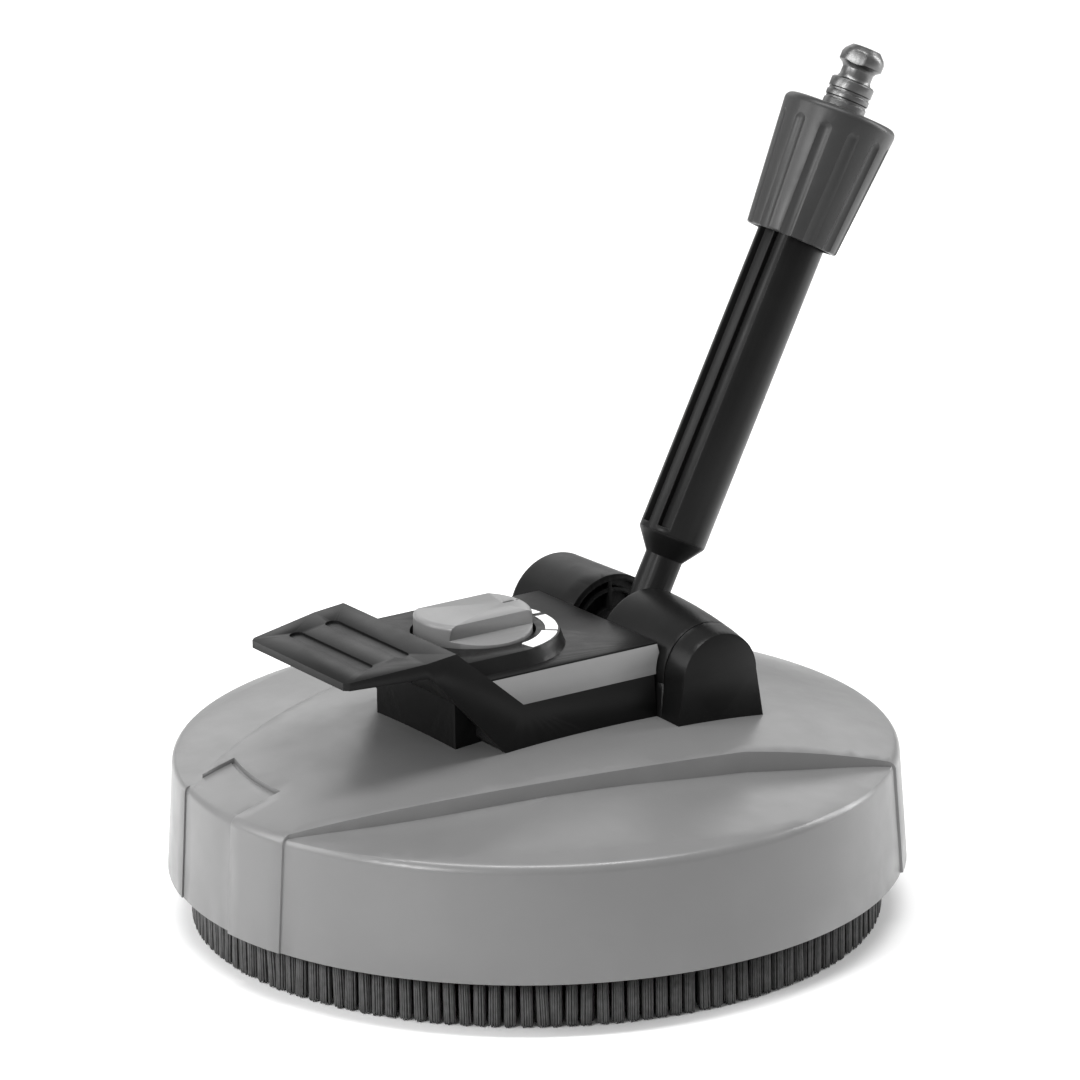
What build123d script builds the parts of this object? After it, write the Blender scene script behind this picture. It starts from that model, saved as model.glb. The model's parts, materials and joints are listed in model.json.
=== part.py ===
from build123d import *
from math import cos, exp, hypot, radians, sin
import os

# Surface cleaner head for a pressure washer: a round hood on a brush skirt, a spinning nozzle
# arm inside it, a pressure dial on top and a short lance that tilts in a yoke at the back.
# Millimetres.  Z is up and is the spin axis, +Y is the back, the floor is Z = 0.

os.makedirs("parts", exist_ok=True)

# ---------------------------------------------------------------- driving dimensions
FIT = 0.05                    # radial clearance of a running fit
GAP = 0.3                     # clearance between neighbouring pieces

RIM_R = 150.6                 # hood
RIM_Z = 21.5
SHOULDER_R = 147.6
SKIRT_STEP = 0.9              # the side panels' skirt stands back from the middle band's
SHOULDER_ROUND = 4.5
CROWN_Z = 87.5
CROWN_DROP = 18.5
CROWN_POWER = 2.6
WALL = 3.0
PAD_Z = 88.2                  # flat seat for the valve block on top of the hood
BOSS_R, BOSS_Z = 38.0, 80.0   # flat seat for the bearing housing under the hood

PANEL_BASE_Z = 69.0           # the two lower side panels of the hood
PANEL_CROWN = 8.4
PANEL_DROP = 2.4
PANEL_X, PANEL_Y = 60.0, -25.0
PANEL_SPREAD = 54.0
STEP_FRONT = (36.0, -140.0)   # edge between the raised middle band and a side panel
STEP_MIDDLE = (75.7, -44.0)
STEP_BEND = (88.6, 41.0)
STEP_REAR = (109.0, 112.0)
NOTCH = (-40.0, 5.0)          # shallow front recess, from X to X
NOTCH_R = 124.5
NOTCH_DEPTH = 1.6

BRISTLE_R = (131.0, 140.5)    # brush
CARRIER_R = (119.5, 145.6)
CARRIER_Z = (20.0, 27.0)
CARRIER_SCREW_R = 125.5
CARRIER_SCREWS = 8

COVER_HALF_LOW, COVER_HALF_HIGH = 44.6, 41.0     # half widths of the cover at the two heights
COVER_LOW_Z, COVER_HIGH_Z = 84.0, 130.0
COVER_WALL = 2.5
TRIM_LOW_Z = 103.5
DECK_Z = 116.5
PLATFORM_Z = 122.5
PLATE_FRONT_Y = -112.0
DECK_REAR_Y = 31.5
COVER_REAR_Y = 29.2

KNOB_Y = -29.0                # pressure dial
KNOB_R = 24.0
KNOB_Z = (119.2, 131.0)
RECESS_Z = 118.7
SPINDLE_R = 5.0

SPINDLE_TOP = 127.6
CHAMBER_R = 9.0               # valve chamber
BLOCK_TOP = 112.0
FEED_Y, FEED_R = 6.0, 4.0     # water pipe from the tilt joint to the valve
PIPE_X = -33.0

PIVOT_Y, PIVOT_Z = 51.0, 102.3    # tilt axis of the lance, parallel to X
BARREL_R = 23.4                   # barrel of the yoke at mid width
BARREL_LEFT_R, BARREL_RIGHT_R = 22.6, 17.8       # and at its two ends
YOKE_X = (-61.0, 58.0)
LEFT_INNER_X = -18.0
HUB_X = (-9.0, 46.8)              # core of the lance's hub; its full-width shell starts later
HUB_SHELL_X = 5.5
RIGHT_INNER_X = 47.4
PIN_R = 6.0

LANCE_TILT = 27.54                # lance lean from upright, towards the back
LANCE_FOOT = (0.0, 47.6, 102.3)   # the lance's own axis passes here
CONE_S = (37.6, 46.0)             # distances along the lance from its foot
TUBE_R, NECK_R = 14.2, 7.9
COLLAR_S = (176.5, 232.5)
COLLAR_R = (19.4, 24.2)
PLUG_S = (245.0, 250.5, 259.6)    # shoulder, underside of the head, tip
PLUG_R, PLUG_FOOT_S = 9.1, 204.0
TUBE_TOP_S = 226.0
PIPE_R = 5.0                      # steel pipe inside the lance
FLUTE_BIT, FLUTE_LENGTH = 4.3, 45.5

ROTOR_ARM_Z = 34.0                # spinning nozzle arm
ARM_HALF = 104.0
SHAFT_R = 7.5
BEARING_R, BEARING_W = 16.0, 9.0
BEARINGS_Z = (52.0, 66.0)         # undersides of the two bearings
NOZZLE_LEAN = 24.0
SPIGOT_R = 11.9                   # water spigot of the bearing housing, through the hood
FLANGE_SCREW_R = 28.0

COVER_BOSSES = ((-38.2, -30.0), (38.2, -30.0), (-38.2, 23.0), (38.2, 23.0))
YOKE_BOSSES = ((-50.0, 68.0), (-37.0, 68.0), (36.0, 58.0), (52.7, 66.0))
SCREW_R = 1.7                     # thread of the self-tapping screws into plastic


def dome(r):
    """Height of the hood's raised middle band at radius r."""
    return CROWN_Z - CROWN_DROP * (r / (SHOULDER_R - 1)) ** CROWN_POWER


def barrel(x):
    """Radius of the yoke barrel at x: nearly straight on the left, crowned on the right."""
    end_r, end_x = (BARREL_LEFT_R, YOKE_X[0]) if x < 0 else (BARREL_RIGHT_R, YOKE_X[1])
    return BARREL_R - (BARREL_R - end_r) * (x / end_x) ** 2


def keep(builder, label):
    """Label the finished piece and write it."""
    builder.part.label = label
    export_step(builder.part, f"parts/{label}.step")


SIDE = Plane.YZ                                  # sketches drawn as (y, z), extruded along X
LANCE = Plane(
    origin=LANCE_FOOT,
    x_dir=(1, 0, 0),
    z_dir=(0, sin(radians(LANCE_TILT)), cos(radians(LANCE_TILT))),
)
PIVOT_AXIS = Axis((0, PIVOT_Y, PIVOT_Z), (1, 0, 0))


def along_lance(s):
    """Plane square to the lance, at distance s from its foot."""
    return LANCE.offset(s)


def pivot_disc(x):
    """Plane square to the tilt axis, centred on it, at x and facing +X."""
    return Plane(origin=(x, PIVOT_Y, PIVOT_Z), x_dir=(0, 1, 0), z_dir=(1, 0, 0))


# ---------------------------------------------------------------- shared hood forms
def panel_height(x, y, inset):
    """Height of a side panel: a low rounded swell over a base that drops towards the rim."""
    reach = ((abs(x) - PANEL_X) ** 2 + (y - PANEL_Y) ** 2) / (2 * PANEL_SPREAD**2)
    drop = PANEL_DROP * (hypot(x, y) / SHOULDER_R) ** 10
    return PANEL_BASE_Z + PANEL_CROWN * exp(-reach) - drop - inset



def hood_form(inset):
    """Solid of revolution of the hood, its surface moved in by inset."""
    rings = (0, 35, 65, 90, 110, 125, 137, SHOULDER_R - inset)
    floor_z = RIM_Z - inset
    with BuildPart() as form:
        with BuildSketch(Plane.XZ):
            with BuildLine():
                crown = Spline([(r, dome(r) - inset) for r in rings], tangents=[(1, 0), (1, -0.33)])
                Polyline(crown @ 1, (RIM_R - inset, floor_z), (0, floor_z), crown @ 0)
            make_face()
        revolve(axis=Axis.Z)
        shoulder = form.edges().filter_by(GeomType.CIRCLE).sort_by(Axis.Z)[-1]
        fillet(shoulder, SHOULDER_ROUND)
    return form.part


def side_prism(inset):
    """Prism over the right side panel, outside the step edge."""
    with BuildPart() as prism:
        with BuildSketch(Plane.XY.offset(15)):
            with BuildLine():
                edge = ThreePointArc(STEP_FRONT, STEP_MIDDLE, STEP_BEND)
                Polyline(edge @ 1, STEP_REAR, (165, 112), (165, -160), (36, -160), edge @ 0)
            make_face()
            if inset:
                offset(amount=inset, kind=Kind.INTERSECTION)
        extrude(amount=90)
    return prism.part


def side_voids(inset):
    """What the right side panel takes away: above its surface, and the set-back of its skirt."""
    xs = [25 + 12 * i for i in range(13)]
    ys = [165 - 15 * j for j in range(23)]
    surface = Face.make_surface_from_array_of_points(
        [[Vector(x, y, panel_height(x, y, inset)) for y in ys] for x in xs]
    )
    with BuildPart() as above:
        add(side_prism(inset))
        split(bisect_by=surface, keep=Keep.BOTTOM)
    with BuildPart() as around:
        add(side_prism(inset))
        add(hood_form(inset + SKIRT_STEP), mode=Mode.SUBTRACT)
    return above.part, around.part


def hood_body(inset):
    """The hood form with its two lower side panels."""
    with BuildPart() as body:
        add(hood_form(inset))
        for void in side_voids(inset):
            add(void, mode=Mode.SUBTRACT)
            add(mirror(void, about=Plane.YZ, mode=Mode.PRIVATE), mode=Mode.SUBTRACT)
    return body.part


def barrel_form(x_low, x_high, growth):
    """Solid of the crowned yoke barrel between two x, made larger all round by growth."""
    stations = [x_low + (x_high - x_low) * i / 4 for i in range(5)]
    with BuildPart() as form:
        with BuildSketch(Plane.XZ.offset(-PIVOT_Y)):
            with BuildLine():
                crown = Spline([(x, PIVOT_Z + barrel(x) + growth) for x in stations])
                Polyline(crown @ 1, (x_high, PIVOT_Z), (x_low, PIVOT_Z), crown @ 0)
            make_face()
        revolve(axis=PIVOT_AXIS)
    return form.part


HOOD_OUTER = hood_body(0)

# ---------------------------------------------------------------- hood
with BuildPart() as notch:
    with BuildSketch(Plane.XY.offset(RIM_Z - 2)):
        with Locations(((NOTCH[0] + NOTCH[1]) / 2, -150)):
            Rectangle(NOTCH[1] - NOTCH[0], 80)
        Circle(NOTCH_R, mode=Mode.SUBTRACT)
    extrude(amount=80)
    add(hood_form(NOTCH_DEPTH), mode=Mode.SUBTRACT)

with BuildPart() as notch_line:              # narrow groove along its rear edge
    with BuildSketch(Plane.XY.offset(60)):
        Circle(NOTCH_R + 1.4)
        Circle(NOTCH_R, mode=Mode.SUBTRACT)
        with Locations(((NOTCH[0] + NOTCH[1]) / 2, -150)):
            Rectangle(NOTCH[1] - NOTCH[0], 80, mode=Mode.INTERSECT)
    extrude(amount=30)
    add(hood_form(NOTCH_DEPTH + 0.7), mode=Mode.SUBTRACT)

with BuildPart() as stiffening:              # screw posts and ribs inside the hood
    with BuildSketch(Plane.XY.offset(CARRIER_Z[1])):
        with PolarLocations(CARRIER_SCREW_R, CARRIER_SCREWS, start_angle=22.5):
            Circle(4.5)
    extrude(amount=60)
    with BuildSketch(Plane.XY.offset(72)):
        with PolarLocations((CARRIER_SCREW_R + BOSS_R) / 2, CARRIER_SCREWS, start_angle=22.5):
            Rectangle(CARRIER_SCREW_R - BOSS_R + 4, 2.4)
    extrude(amount=20)
    add(hood_body(1), mode=Mode.INTERSECT)

with BuildPart() as hood_shell:
    add(HOOD_OUTER)
    add(notch.part, mode=Mode.SUBTRACT)
    add(notch_line.part, mode=Mode.SUBTRACT)
    add(hood_body(WALL), mode=Mode.SUBTRACT)
    add(stiffening.part)
    with BuildSketch(Plane.XY.offset(BOSS_Z)):
        Circle(BOSS_R)
    extrude(amount=5)
    with BuildSketch(Plane.XY.offset(PAD_Z)):
        with Locations((0, -10)):
            RectangleRounded(56, 72, 4)
    extrude(amount=-5)
    with BuildSketch(Plane.XY.offset(BOSS_Z - 1)):
        Circle(SPIGOT_R + GAP)
        with PolarLocations(FLANGE_SCREW_R, 4, start_angle=45):
            Circle(2.6)
    extrude(amount=12, mode=Mode.SUBTRACT)
    with BuildSketch(Plane.XY.offset(CARRIER_Z[1] - 1)):
        with PolarLocations(CARRIER_SCREW_R, CARRIER_SCREWS, start_angle=22.5):
            Circle(1.6)
    extrude(amount=20, mode=Mode.SUBTRACT)
    with BuildSketch(Plane.XY.offset(60)):
        with Locations(*COVER_BOSSES, *YOKE_BOSSES):
            Circle(2.3)
    extrude(amount=30, mode=Mode.SUBTRACT)
keep(hood_shell, "hood_shell")

with BuildPart() as hood_seat:               # everything the parts on top must stay clear of
    add(HOOD_OUTER)
    with BuildSketch(Plane.XY.offset(PAD_Z)):
        with Locations((0, -10)):
            RectangleRounded(56, 72, 4)
    extrude(amount=-9)

# ---------------------------------------------------------------- brush
with BuildPart() as brush_carrier:
    with BuildSketch(Plane.XY.offset(CARRIER_Z[0])):
        Circle(CARRIER_R[1])
        Circle(CARRIER_R[0], mode=Mode.SUBTRACT)
        with PolarLocations(CARRIER_SCREW_R, CARRIER_SCREWS, start_angle=22.5):
            Circle(2.2, mode=Mode.SUBTRACT)
    extrude(amount=CARRIER_Z[1] - CARRIER_Z[0])
    outer_rims = brush_carrier.edges().filter_by(GeomType.CIRCLE).sort_by(SortBy.RADIUS)[-2:]
    chamfer(outer_rims, 0.6)
keep(brush_carrier, "brush_carrier")

with BuildPart() as brush_bristles:
    with BuildSketch(Plane.XY):
        Circle(BRISTLE_R[1])
        Circle(BRISTLE_R[0], mode=Mode.SUBTRACT)
    extrude(amount=CARRIER_Z[0])
keep(brush_bristles, "brush_bristles")

with BuildPart() as carrier_screws:
    with BuildSketch(Plane.XY.offset(CARRIER_Z[0])):
        with PolarLocations(CARRIER_SCREW_R, CARRIER_SCREWS, start_angle=22.5):
            Circle(3.9)
    extrude(amount=-2.4)
    with BuildSketch(Plane.XY.offset(CARRIER_Z[0])):
        with PolarLocations(CARRIER_SCREW_R, CARRIER_SCREWS, start_angle=22.5):
            Circle(1.6)
    extrude(amount=20)
    with BuildSketch(Plane.XY.offset(CARRIER_Z[0] - 2.4)):
        with PolarLocations(CARRIER_SCREW_R, CARRIER_SCREWS, start_angle=22.5):
            Rectangle(4.2, 1.0)
            Rectangle(1.0, 4.2)
    extrude(amount=1.2, mode=Mode.SUBTRACT)
keep(carrier_screws, "carrier_screws")

# ---------------------------------------------------------------- cover, deck and trim
ARM_TOP = ((-64.0, 129.8), (-34.0, TRIM_LOW_Z))      # (y, z) of the slanted arms, upper side
ARM_UNDER = ((-76.5, 122.3), (-43.5, 85.2))          # and lower side
ARM_FOOT_Y = -34.0 + (TRIM_LOW_Z - 80) * 30 / 26.3    # where that slope would reach z = 80
PLATE = Plane(origin=(0, -64, 129.8), x_dir=(-1, 0, 0), z_dir=(0, -4.5, 48))


def half_width(z):
    """Half width of the cover and of what sits on it, at height z."""
    share = (z - COVER_LOW_Z) / (COVER_HIGH_Z - COVER_LOW_Z)
    return COVER_HALF_LOW + (COVER_HALF_HIGH - COVER_HALF_LOW) * share


def wedge(inset):
    """Front-view wedge that gives the cover its drafted sides."""
    with BuildPart() as form:
        with BuildSketch(Plane.XZ.offset(-60)):
            with BuildLine():
                low, high = half_width(75) - inset, half_width(135) - inset
                Polyline((-low, 75), (low, 75), (high, 135), (-high, 135), close=True)
            make_face()
        extrude(amount=200)
    return form.part


with BuildPart() as handle_cover:
    with BuildSketch(SIDE):                  # side view of the walls, arms and carrying plate
        with BuildLine():
            Polyline(
                (COVER_REAR_Y, 76), (COVER_REAR_Y, TRIM_LOW_Z), ARM_TOP[1], ARM_TOP[0],
                (PLATE_FRONT_Y, 125.3), (PLATE_FRONT_Y, 122.2), ARM_UNDER[0],
                ARM_UNDER[1], (-43.5, 76), close=True,
            )
        make_face()
    extrude(amount=60, both=True)
    underside = [handle_cover.edges().filter_by(Axis.X).sort_by_distance((0, *ARM_UNDER[0]))[0]]
    fillet(underside, 6)
    add(wedge(0), mode=Mode.INTERSECT)
    with BuildSketch(Plane.XY.offset(80)):   # the carrying plate narrows towards the front
        with Locations((0, -150)):
            Rectangle(200, 2 * (150 - 56))
        with BuildLine():
            Polyline((-45, -56), (-35.4, -110), (-33.4, PLATE_FRONT_Y), (33.4, PLATE_FRONT_Y),
                     (35.4, -110), (45, -56), close=True)
        make_face(mode=Mode.SUBTRACT)
    extrude(amount=60, mode=Mode.SUBTRACT)
    for outline in (                         # open between the arms; hollow behind the wall
        ((-47, 70), (-66.2, 70), (-66.2, 108.5), (-58.5, 116.8), (-47, 106.7)),
        ((-44.5, 70), (-44.5, 140), (60, 140), (60, 70)),
    ):
        with BuildSketch(SIDE):
            with BuildLine():
                Polyline(*outline, close=True)
            make_face()
        hollow = extrude(amount=60, both=True, mode=Mode.PRIVATE)
        add(hollow & wedge(COVER_WALL), mode=Mode.SUBTRACT)
    with BuildSketch(SIDE):                  # wide middle wall under the carrying plate
        with BuildLine():
            Polyline((-57, 76), (-57, 117), (-45, 106.5), (-45, 76), close=True)
        make_face()
    extrude(amount=28.5, both=True)
    with BuildSketch(Plane.XY.offset(76)):   # screw bosses in the corners
        with Locations(*COVER_BOSSES):
            Circle(4.6)
    extrude(amount=20)
    with BuildSketch(Plane.XY.offset(76)):
        with Locations(*COVER_BOSSES):
            Circle(SCREW_R)
    extrude(amount=19, mode=Mode.SUBTRACT)
    with BuildSketch(PLATE):                 # two long grip grooves across the plate
        with Locations((0, 15.5), (0, 32.5)):
            SlotOverall(56, 6)
    extrude(amount=-0.9, mode=Mode.SUBTRACT)
    with BuildSketch(Plane.XY.offset(RECESS_Z)):     # room for the dial
        with Locations((0, KNOB_Y)):
            Circle(KNOB_R + 1.3)
    extrude(amount=12, mode=Mode.SUBTRACT)
    with BuildSketch(Plane.XY.offset(76)):   # room for the yoke's foot on the left
        with Locations((-40, 37.4)):
            Rectangle(20, 20)
    extrude(amount=27, mode=Mode.SUBTRACT)
    with BuildSketch(Plane.XY.offset(76)):   # room for the yoke's foot on the left
        with Locations((-40, 37.4)):
            Rectangle(20, 20)
    extrude(amount=27, mode=Mode.SUBTRACT)
    add(hood_seat.part, mode=Mode.SUBTRACT)
    add(barrel_form(*YOKE_X, 0.6), mode=Mode.SUBTRACT)
keep(handle_cover, "handle_cover")


def hood_screws(places, length):
    """Cross-head screws driven up through the hood, heads against its underside."""
    with BuildPart() as screws:
        for x, y in places:
            seat = dome(hypot(x, y) + 4) - WALL - 0.05
            for size, low, high in ((4.0, -2.4, 0), (SCREW_R, -0.1, length)):
                with BuildSketch(Plane.XY.offset(seat + low)):
                    with Locations((x, y)):
                        Circle(size)
                extrude(amount=high - low)
            with BuildSketch(Plane.XY.offset(seat - 2.4)):
                with Locations((x, y)):
                    Rectangle(4.2, 1.0)
                    Rectangle(1.0, 4.2)
            extrude(amount=1.2, mode=Mode.SUBTRACT)
    return screws


keep(hood_screws(COVER_BOSSES, 10.4), "cover_screws")


def slope_tool():
    """Everything in front of the arms' upper slope."""
    with BuildPart() as tool:
        with BuildSketch(SIDE):
            with BuildLine():
                Polyline(
                    (-150, 80), (ARM_FOOT_Y, 80), ARM_TOP[1], ARM_TOP[0], (-64, 160),
                    (-150, 160), close=True,
                )
            make_face()
        extrude(amount=80, both=True)
    return tool.part


DECK_LOW = half_width(TRIM_LOW_Z) - 2.0      # half widths of the deck below and above
DECK_HIGH = half_width(DECK_Z) - 1.8
LIP_Z = DECK_Z - 0.8                         # the deck's edges lap over the trim
with BuildPart() as deck:
    with BuildSketch(Plane.XZ.offset(-DECK_REAR_Y)):     # plate with two side flanges
        with BuildLine():
            Polyline(
                (-DECK_LOW, TRIM_LOW_Z), (-DECK_HIGH, LIP_Z), (-DECK_HIGH - 1.8, LIP_Z),
                (-DECK_HIGH - 1.8, DECK_Z), (DECK_HIGH + 1.8, DECK_Z), (DECK_HIGH + 1.8, LIP_Z),
                (DECK_HIGH, LIP_Z), (DECK_LOW, TRIM_LOW_Z), close=True,
            )
        make_face()
    extrude(amount=DECK_REAR_Y + 62)
    with BuildSketch(Plane.XY.offset(DECK_Z)):           # raised platform around the dial
        with Locations((0, KNOB_Y)):
            Circle(37)
        with Locations((0, (KNOB_Y - 62) / 2)):
            Rectangle(74, KNOB_Y + 62)
    extrude(amount=PLATFORM_Z - DECK_Z, taper=20)
    with BuildSketch(Plane.XY.offset(TRIM_LOW_Z)):       # hollow from below
        with Locations((0, -15)):
            Rectangle(2 * (DECK_HIGH - 2.6), 120)
    extrude(amount=DECK_Z - 2.5 - TRIM_LOW_Z, mode=Mode.SUBTRACT)
    with BuildSketch(Plane.XY.offset(DECK_Z - 2.6)):
        with Locations((0, KNOB_Y)):
            Circle(30)
    extrude(amount=2.4, mode=Mode.SUBTRACT)
    with BuildSketch(Plane.XY.offset(PLATFORM_Z)):       # the knob turns in a round recess
        with Locations((0, KNOB_Y)):
            Circle(KNOB_R + 1.3)
    extrude(amount=RECESS_Z - PLATFORM_Z, mode=Mode.SUBTRACT)
    with BuildSketch(Plane.XY.offset(PLATFORM_Z)):
        with Locations((0, KNOB_Y)):
            Circle(SPINDLE_R + 0.6)
    extrude(amount=-12, mode=Mode.SUBTRACT)
    add(barrel_form(*YOKE_X, 0.6), mode=Mode.SUBTRACT)
    add(slope_tool(), mode=Mode.SUBTRACT)
keep(deck, "deck")

for side, label in ((-1, "trim_left"), (1, "trim_right")):
    with BuildPart() as trim:
        with BuildSketch(Plane.XZ.offset(-36)):
            with BuildLine():
                Polyline(
                    (side * DECK_HIGH, LIP_Z), (side * (DECK_HIGH + 1.8), LIP_Z),
                    (side * (DECK_LOW + 2.0), TRIM_LOW_Z), (side * DECK_LOW, TRIM_LOW_Z),
                    close=True,
                )
            make_face()
        extrude(amount=90)
        add(slope_tool(), mode=Mode.SUBTRACT)
        split(bisect_by=Plane(origin=(0, 31.2, DECK_Z), z_dir=(0, -13, -3)), keep=Keep.TOP)
        add(barrel_form(*YOKE_X, 0.6), mode=Mode.SUBTRACT)
    keep(trim, label)

SCALE = ((11, 49, 27.6), (53, 87, 29.0), (93, 127, 30.6), (131, 169, 32.0))   # from, to, inner radius
with BuildPart() as dial_marks:
    with BuildSketch(Plane.XY.offset(PLATFORM_Z)):
        for start, end, inner in SCALE:
            with BuildLine():
                outer_arc = CenterArc((0, KNOB_Y), 34.0, start, end - start)
                inner_arc = CenterArc((0, KNOB_Y), inner, start, end - start)
                Line(outer_arc @ 0, inner_arc @ 0)
                Line(outer_arc @ 1, inner_arc @ 1)
            make_face()
    extrude(amount=0.35)
keep(dial_marks, "dial_marks")

# ---------------------------------------------------------------- pressure dial and valve
with BuildPart() as knob:
    with BuildSketch(Plane.XY.offset(KNOB_Z[0])):
        with Locations((0, KNOB_Y)):
            Circle(KNOB_R)
    extrude(amount=KNOB_Z[1] - KNOB_Z[0], taper=1)
    top_rim = knob.edges().filter_by(GeomType.CIRCLE).sort_by(Axis.Z)[-1]
    fillet(top_rim, 2.2)
    for side in (1, -1):                     # finger scoops that leave a grip bar
        scoop = Plane(
            origin=(side * 13.1, KNOB_Y, KNOB_Z[1] - 6.2),
            x_dir=(0, 1, 0), z_dir=(side * 0.16, 0, 1),
        )
        with BuildSketch(scoop):
            with Locations((0, -side * 20)):
                Rectangle(60, 40)
        extrude(amount=12, mode=Mode.SUBTRACT)
    with BuildSketch(Plane.XY.offset(KNOB_Z[0])):        # hollow underneath
        with Locations((0, KNOB_Y)):
            SlotOverall(42, 17.6, rotation=90)
            Circle(SPINDLE_R + 3.2, mode=Mode.SUBTRACT)
    extrude(amount=8.8, mode=Mode.SUBTRACT)
    with BuildSketch(Plane.XY.offset(KNOB_Z[0])):
        with Locations((0, KNOB_Y)):
            Circle(SPINDLE_R)
    extrude(amount=SPINDLE_TOP - KNOB_Z[0], mode=Mode.SUBTRACT)
    with BuildSketch(Plane.XY.offset(KNOB_Z[1])):        # pointer at the back of the grip bar
        with Locations((0, KNOB_Y + 17.2)):
            SlotOverall(5.4, 1.5, rotation=90)
        with Locations((0, KNOB_Y + 21.6)):
            Circle(0.6)
    extrude(amount=-0.6, mode=Mode.SUBTRACT)
keep(knob, "knob")

with BuildPart() as valve_spindle:
    with BuildSketch(Plane.XY.offset(101.4)):
        with Locations((0, KNOB_Y)):
            Circle(4.4)
    extrude(amount=4.6)
    with BuildSketch(Plane.XY.offset(106)):
        with Locations((0, KNOB_Y)):
            Circle(7.5)
    extrude(amount=3)
    with BuildSketch(Plane.XY.offset(109)):
        with Locations((0, KNOB_Y)):
            Circle(SPINDLE_R)
    extrude(amount=SPINDLE_TOP - 109)
keep(valve_spindle, "valve_spindle")

with BuildPart() as valve_needle:            # cone that opens and shuts the flow
    with BuildSketch(Plane.XZ.offset(-KNOB_Y)):
        with BuildLine():
            Polyline(
                (0, 96.6), (1.2, 96.6), (4.5, 98.6), (CHAMBER_R - FIT, 98.6),
                (CHAMBER_R - FIT, 104.2), (4.5, 104.2), (4.5, 100.2), (0, 100.2), close=True,
            )
        make_face()
    revolve(axis=Axis((0, KNOB_Y, 0), (0, 0, 1)))
keep(valve_needle, "valve_needle")

with BuildPart() as valve_block:
    for size, corner, low, high in (((48, 66), 4, PAD_Z, 98), ((36, 60), 3, 98, BLOCK_TOP)):
        with BuildSketch(Plane.XY.offset(low)):
            with Locations((0, -11 if low < 98 else -14)):
                RectangleRounded(*size, corner)
        extrude(amount=high - low)
    top = valve_block.faces().sort_by(Axis.Z)[-1]
    chamfer(top.edges(), 1.2)
    for plane_z, radius, depth, y in (
        (95.4, CHAMBER_R, 30, KNOB_Y),       # valve chamber, open at the top
        (92.0, 3.0, 5, KNOB_Y),              # seat
        (PAD_Z, SPIGOT_R, 6.6, 0),           # socket of the water spigot
    ):
        with BuildSketch(Plane.XY.offset(plane_z)):
            with Locations((0, y)):
                Circle(radius)
        extrude(amount=depth, mode=Mode.SUBTRACT)
    with BuildSketch(Plane.XZ):              # gallery from the seat to the spigot
        with Locations((0, 93.2)):
            Circle(1.5)
    extrude(amount=-KNOB_Y, mode=Mode.SUBTRACT)
    for x, radius, depth in ((-18, FEED_R, 6), (-12.5, 2.6, 7.5)):       # inlet on the left side
        with BuildSketch(Plane.YZ.offset(x)):
            with Locations((FEED_Y, PIVOT_Z)):
                Circle(radius)
        extrude(amount=depth, mode=Mode.SUBTRACT)
    with BuildSketch(Plane.XZ.offset(-FEED_Y)):
        with Locations((-6.4, PIVOT_Z)):
            Circle(2.2)
    extrude(amount=FEED_Y - KNOB_Y, mode=Mode.SUBTRACT)
    with BuildSketch(Plane.XY.offset(PAD_Z)):            # tapped holes of the housing screws
        with PolarLocations(FLANGE_SCREW_R, 4, start_angle=45):
            Circle(2.3)
    extrude(amount=8, mode=Mode.SUBTRACT)
keep(valve_block, "valve_block")

with BuildPart() as gland_nut:
    with BuildSketch(Plane.XY.offset(BLOCK_TOP)):
        with Locations((0, KNOB_Y)):
            RegularPolygon(12, 6)
            Circle(SPINDLE_R + FIT, mode=Mode.SUBTRACT)
    extrude(amount=4)
    with BuildSketch(Plane.XY.offset(BLOCK_TOP)):
        with Locations((0, KNOB_Y)):
            Circle(CHAMBER_R)
            Circle(SPINDLE_R + FIT, mode=Mode.SUBTRACT)
    extrude(amount=-2.4)
    with BuildSketch(Plane.XY.offset(BLOCK_TOP + 1.8)):
        with Locations((0, KNOB_Y)):
            Circle(7.2)
    extrude(amount=-3, mode=Mode.SUBTRACT)
keep(gland_nut, "gland_nut")

with BuildPart() as spindle_seal:
    with Locations((0, KNOB_Y, BLOCK_TOP + 0.3)):
        Torus(6.12, 1.05)
keep(spindle_seal, "spindle_seal")

with BuildPart() as feed_pipe:
    with BuildLine():
        route = FilletPolyline(
            (PIPE_X, PIVOT_Y - 10, PIVOT_Z), (PIPE_X, FEED_Y, PIVOT_Z), (-12, FEED_Y, PIVOT_Z),
            radius=11,
        )
    with BuildSketch(Plane(origin=route @ 0, z_dir=route % 0)):
        Circle(FEED_R)
        Circle(FEED_R - 1.2, mode=Mode.SUBTRACT)
    sweep(path=route.wire())
keep(feed_pipe, "feed_pipe")

# ---------------------------------------------------------------- bearing housing and rotor
with BuildPart() as bearing_housing:
    with BuildSketch(Plane.XZ):
        with BuildLine():
            Polyline(
                (BEARING_R, 46), (21.5, 46), (21.5, 73), (23.5, 75), (36, 75), (36, BOSS_Z),
                (SPIGOT_R - FIT, BOSS_Z), (SPIGOT_R - FIT, 87.2), (10.2, 87.2), (10.2, 89.4),
                (SPIGOT_R - FIT, 89.4), (SPIGOT_R - FIT, 91), (4, 91), (4, BOSS_Z - 0.1),
                (12, BOSS_Z - 0.1), (12, 75), (BEARING_R, 75), (BEARING_R, 51.9), (16.8, 51.9),
                (16.8, 50.6), (BEARING_R, 50.6), close=True,
            )
        make_face()
    revolve(axis=Axis.Z)
    with BuildSketch(Plane.XY.offset(74)):
        with PolarLocations(FLANGE_SCREW_R, 4, start_angle=45):
            Circle(2.6)
    extrude(amount=7, mode=Mode.SUBTRACT)
keep(bearing_housing, "bearing_housing")

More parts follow.
